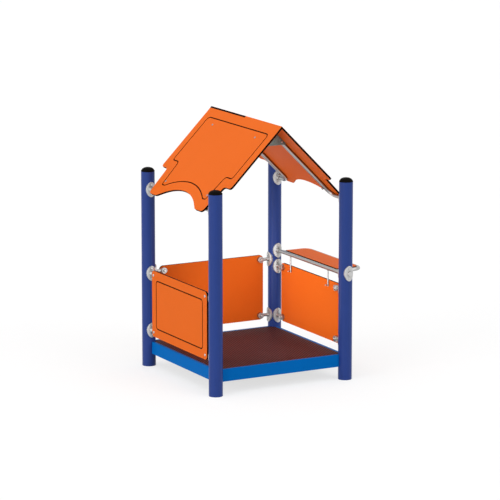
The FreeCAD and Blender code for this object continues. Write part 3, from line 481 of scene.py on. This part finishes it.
SKIN_ORANGE = (0.80, 0.143, 0.0130, 1.0)
CORE_BLACK = (0.002, 0.0015, 0.0015, 1.0)
CORE_DULLNESS = 0.40
SKIN_DEPTH = 0.0005
BOARD_THICKNESS = 0.015
HALF_CORE = BOARD_THICKNESS / 2 - SKIN_DEPTH

# Layers: 1 in the core of a board, 0 in its skins, told by the depth from the board's middle.
layers, given, result = start_group(
    "board_layers",
    [("Across", "Vector", (0.0, 0.0, 1.0)), ("Middle", "Float", 0.0), ("Half Core", "Float", 0.005)],
    [("Core", "Float")],
)
place = add_node(layers, "ShaderNodeTexCoord")
depth = add_node(layers, "ShaderNodeVectorMath", {"operation": "DOT_PRODUCT"})
join(layers, (place.outputs["Object"], depth.inputs[0]), (given.outputs["Across"], depth.inputs[1]))
off_middle = math_node(layers, "SUBTRACT", depth.outputs["Value"], given.outputs["Middle"])
join(layers, (math_node(layers, "LESS_THAN", math_node(layers, "ABSOLUTE", off_middle),
                        given.outputs["Half Core"]), result.inputs["Core"]))


def layered_board(name, across, middle):
    """Three-layer board, its layers square to a direction, with its middle at a distance along it."""
    finish, tree, shader = new_finish(name, 0.5, specular=0.04)
    layer = place_group(tree, layers, {"Across": across, "Middle": middle, "Half Core": HALF_CORE})
    skin = lay_grain(tree, shader, size=0.0018, height=0.00015, strength=0.4)
    worn = wear_down(tree, SKIN_ORANGE, patch_size=0.35, patchiness=0.06, dust=0.01)
    spread = add_node(tree, "ShaderNodeMapRange", values={"To Min": 0.40, "To Max": 0.58})
    sawn = math_node(tree, "MULTIPLY_ADD", layer.outputs["Core"], CORE_DULLNESS, spread.outputs["Result"])
    join(
        tree,
        (skin.outputs["Grain"], spread.inputs["Value"]),
        (sawn, shader.inputs["Roughness"]),
        (mix_colours(tree, layer.outputs["Core"], worn.outputs["Color"], CORE_BLACK),
         shader.inputs["Base Color"]),
    )
    return finish


def middle_of(name, axis):
    """The middle of a CAD node along an axis, in metres."""
    low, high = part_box(name)
    return (low[axis] + high[axis]) / 2


for side, axis in (("left", 0), ("right", 0), ("rear", 1)):
    name = "panel_" + side
    across = [0.0, 0.0, 0.0]
    across[axis] = 1.0
    dress([name], layered_board(name + "_board", across, middle_of(name, axis)))


# --- Saddles ----------------------------------------------------------------------------------
# Aluminium castings that wrap the posts and hold the panels, rafters and counter.  They are
# tumbled after casting, which leaves a soft grey surface and rounded rims.  A painted highlight
# brightens the rims and painted shade darkens the hollows.

CAST_GREY = (0.54, 0.54, 0.535, 1.0)
# The rim colour is a painted highlight.
CAST_RIM_HIGHLIGHT = (0.88, 0.88, 0.87, 1.0)

casting, tree, shader, _ = bare_metal("tumbled_casting", 0.42, CAST_GREY, CAST_RIM_HIGHLIGHT, edge_width=0.0050,
                                      patchiness=0.10, reach=0.035, darkness=1.0)
lay_grain(tree, shader, size=0.0022, height=0.0002, strength=0.3)
dress([name for name in nodes_named("saddle_") if name != "saddle_screws"], casting)


# --- Screws and bolts -------------------------------------------------------------------------
# Stainless steel, with turned and polished domed heads and a hexagon socket in each.  The roof's
# screws are given a darker, rougher steel.

BRIGHT_STEEL = (0.62, 0.61, 0.60, 1.0)
DARKER_STEEL = (0.40, 0.395, 0.385, 1.0)
# The edge colour is a painted highlight.
STEEL_EDGE_HIGHLIGHT = (0.80, 0.795, 0.78, 1.0)


def fastener_steel(name, colour, roughness):
    """Turned stainless steel, with painted shade in the sockets and a painted highlight at the edges."""
    finish, tree, shader, _ = bare_metal(name, roughness, colour, STEEL_EDGE_HIGHLIGHT, edge_width=0.0008,
                                         patchiness=0.05, reach=0.004, darkness=0.9)
    lay_grain(tree, shader, size=0.0006, height=0.00003, strength=0.3)
    return finish


dress(["saddle_screws", "panel_bolts", "deck_bracket_bolts", "gusset_bolts", "counter_screws",
       "counter_rod_bolts"], fastener_steel("bright_stainless", BRIGHT_STEEL, 0.28))
dress(["roof_screws"], fastener_steel("darker_stainless", DARKER_STEEL, 0.40))


# --- Roof boards ------------------------------------------------------------------------------
# Two more boards of the same plastic, alike, one turned half round.  Each laps the other along
# half of the ridge, where its black core shows as a line.

def slope_of(side):
    """The direction square to a roof board, out of the roof, and the board's middle along it."""
    points = [vertex.co for vertex in nodes["roof_board_" + side].data.vertices]
    outward = Vector((math.copysign(1.0, sum(point.x for point in points)), 0.0, 1.0)).normalized()
    depths = [point.dot(outward) for point in points]
    return outward, (min(depths) + max(depths)) / 2


for side in ("left", "right"):
    outward, middle = slope_of(side)
    dress(["roof_board_" + side], layered_board("roof_board_%s_board" % side, outward, middle))


# --- Rafters ----------------------------------------------------------------------------------
# Stainless tubes, bent cold and ground along their length, from a socket on each post to the
# plates below the ridge.

TUBE_STEEL = (0.44, 0.445, 0.44, 1.0)
# The edge colour is a painted highlight; the recesses get painted shade.
TUBE_EDGE_HIGHLIGHT = (0.70, 0.70, 0.69, 1.0)
ALONG_MARKS = 12.0
ACROSS_MARKS = 1400.0

# Grinding: long fine marks, close together across the tube and drawn out along it.
grinding, given, result = start_group(
    "grinding_marks",
    [("Marks", "Vector", (ALONG_MARKS, ALONG_MARKS, ACROSS_MARKS)), ("Height", "Float", 0.00002),
     ("Strength", "Float", 0.3)],
    [("Normal", "Vector"), ("Marks", "Float")],
)
place = add_node(grinding, "ShaderNodeTexCoord")
drawn_out = add_node(grinding, "ShaderNodeVectorMath", {"operation": "MULTIPLY"})
marks = add_node(grinding, "ShaderNodeTexNoise", values={"Scale": 1.0, "Detail": 2.0})
raised = add_node(grinding, "ShaderNodeBump")
join(
    grinding,
    (place.outputs["Object"], drawn_out.inputs[0]),
    (given.outputs["Marks"], drawn_out.inputs[1]),
    (drawn_out.outputs["Vector"], marks.inputs["Vector"]),
    (marks.outputs["Fac"], raised.inputs["Height"]),
    (given.outputs["Height"], raised.inputs["Distance"]),
    (given.outputs["Strength"], raised.inputs["Strength"]),
    (raised.outputs["Normal"], result.inputs["Normal"]),
    (marks.outputs["Fac"], result.inputs["Marks"]),
)


def ground_tube(name, across):
    """Stainless tube or bar, ground so that the marks lie close together along one axis."""
    finish, tree, shader, _ = bare_metal(name, 0.34, TUBE_STEEL, TUBE_EDGE_HIGHLIGHT, edge_width=0.0010,
                                         patchiness=0.06, reach=0.010, darkness=0.8)
    spacing = [ALONG_MARKS, ALONG_MARKS, ALONG_MARKS]
    spacing[across] = ACROSS_MARKS
    ground = place_group(tree, grinding, {"Marks": spacing})
    vary_roughness(tree, shader, ground.outputs["Marks"], 0.24, 0.46)
    join(tree, (ground.outputs["Normal"], shader.inputs["Normal"]))
    return finish


dress(nodes_named("rafter_"), ground_tube("rafter_steel", 1))


# --- Ridge plates -----------------------------------------------------------------------------
# Two galvanised plates, bolted to the rafters under the ridge.

dress(nodes_named("ridge_gusset"), zinc)


# --- Counter ----------------------------------------------------------------------------------
# A board of the same plastic in a welded ring of stainless tube.  Two flat bars below carry it,
# and two rods tie the tube to the panel.

dress(["counter_board"], layered_board("counter_layers", (0.0, 0.0, 1.0), middle_of("counter_board", 2)))
dress(["counter_frame", "counter_rod_front", "counter_rod_rear"], ground_tube("counter_tube_steel", 2))
dress(["counter_strap_front", "counter_strap_rear"], ground_tube("counter_bar_steel", 1))


# --- Counter welds ----------------------------------------------------------------------------
# Beads of stainless filler wire where the ring's ends, the flat bars and the rods meet the tube.
# Each is laid by hand in small overlapping ripples, then brushed, which leaves it a dull straw grey.

WELD_GREY = (0.36, 0.345, 0.315, 1.0)
# The crest colour is a painted highlight; the recesses get painted shade.
WELD_CREST_HIGHLIGHT = (0.62, 0.60, 0.56, 1.0)
BEAD_RADIUS = 0.0023
RIPPLE_LENGTH = 0.0026
RIPPLE_DEPTH = 0.20
BEAD_STEP = 0.0006
RUN_OUT_POINTS = 4
RING_BEAD_LIFT = 0.2
BAR_END_INSET = 0.002
ROUND_POINTS = 72

weld_metal, tree, shader, _ = bare_metal("brushed_weld", 0.48, WELD_GREY, WELD_CREST_HIGHLIGHT, edge_width=0.0008,
                                         patchiness=0.15, reach=0.002, darkness=0.5)
lay_grain(tree, shader, size=0.0008, height=0.00006, strength=0.4)


def weld_bead(name, route, closed):
    """A rippled bead of weld along a route, its two ends run out to nothing unless it is closed."""
    line = bpy.data.curves.new(name + "_line", "CURVE")
    line.dimensions = "3D"
    line.bevel_depth = BEAD_RADIUS
    line.bevel_resolution = 3
    line.use_fill_caps = not closed
    spline = line.splines.new("POLY")
    corners = route + route[:1] if closed else route
    points = []
    for start, end in zip(corners, corners[1:]):
        steps = max(1, round((end - start).length / BEAD_STEP))
        points += [start.lerp(end, step / steps) for step in range(steps)]
    if not closed:
        points.append(corners[-1])
    spline.points.add(len(points) - 1)
    spline.use_cyclic_u = closed
    laid = 0.0
    for number, (point, place) in enumerate(zip(spline.points, points)):
        point.co = (*place, 1.0)
        if number:
            laid += (place - points[number - 1]).length
        swell = abs(math.sin(math.pi * laid / RIPPLE_LENGTH))
        from_end = 1 + min(number, len(points) - 1 - number)
        run_out = 1.0 if closed else min(1.0, from_end / RUN_OUT_POINTS)
        point.radius = (1.0 - RIPPLE_DEPTH * (1.0 - swell)) * run_out
    holder = bpy.data.objects.new(name + "_line", line)
    bpy.context.scene.collection.objects.link(holder)
    bpy.context.view_layer.update()
    laid_bead = holder.evaluated_get(bpy.context.evaluated_depsgraph_get())
    bead_mesh = bpy.data.meshes.new_from_object(laid_bead)
    bpy.data.objects.remove(holder)
    bead_mesh.materials.clear()
    bead_mesh.materials.append(weld_metal)
    bead_mesh.shade_smooth()
    bead = bpy.data.objects.new(name, bead_mesh)
    bpy.context.scene.collection.objects.link(bead)
    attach(bead, "root")


ring_low, ring_high = (Vector(corner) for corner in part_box("counter_frame"))
tube_radius = (ring_high.z - ring_low.z) / 2
tube_level = (ring_high.z + ring_low.z) / 2
bar_line = ring_low.x + tube_radius
angles = [2.0 * math.pi * number / ROUND_POINTS for number in range(ROUND_POINTS)]

board_low, board_high = (Vector(corner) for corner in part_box("counter_board"))
board_gap = ring_high.x - 2.0 * tube_radius - board_high.x
for end, board_end, away in (("front", board_low.y, -1), ("rear", board_high.y, 1)):
    ring_line = board_end + away * (board_gap + tube_radius)
    route = [
        Vector((bar_line + tube_radius * abs(math.cos(angle)) + BEAD_RADIUS * RING_BEAD_LIFT,
                ring_line + tube_radius * math.cos(angle),
                tube_level + tube_radius * math.sin(angle)))
        for angle in angles
    ]
    weld_bead("weld_ring_" + end, route, True)

    low, high = (Vector(corner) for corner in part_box("counter_strap_" + end))
    for place, x in (("inner", low.x), ("outer", high.x)):
        seam = [Vector((x, y, low.z)) for y in (low.y + BAR_END_INSET, high.y - BAR_END_INSET)]
        weld_bead("weld_bar_%s_%s" % (end, place), seam, False)

    low, high = (Vector(corner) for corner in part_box("counter_rod_" + end))
    rod_radius = (high.y - low.y) / 2
    middle = (low + high) / 2
    route = []
    for angle in angles:
        x = middle.x + rod_radius * math.cos(angle)
        drop = math.sqrt(tube_radius ** 2 - (x - bar_line) ** 2)
        route.append(Vector((x, middle.y + rod_radius * math.sin(angle), tube_level - drop)))
    weld_bead("weld_rod_" + end, route, True)
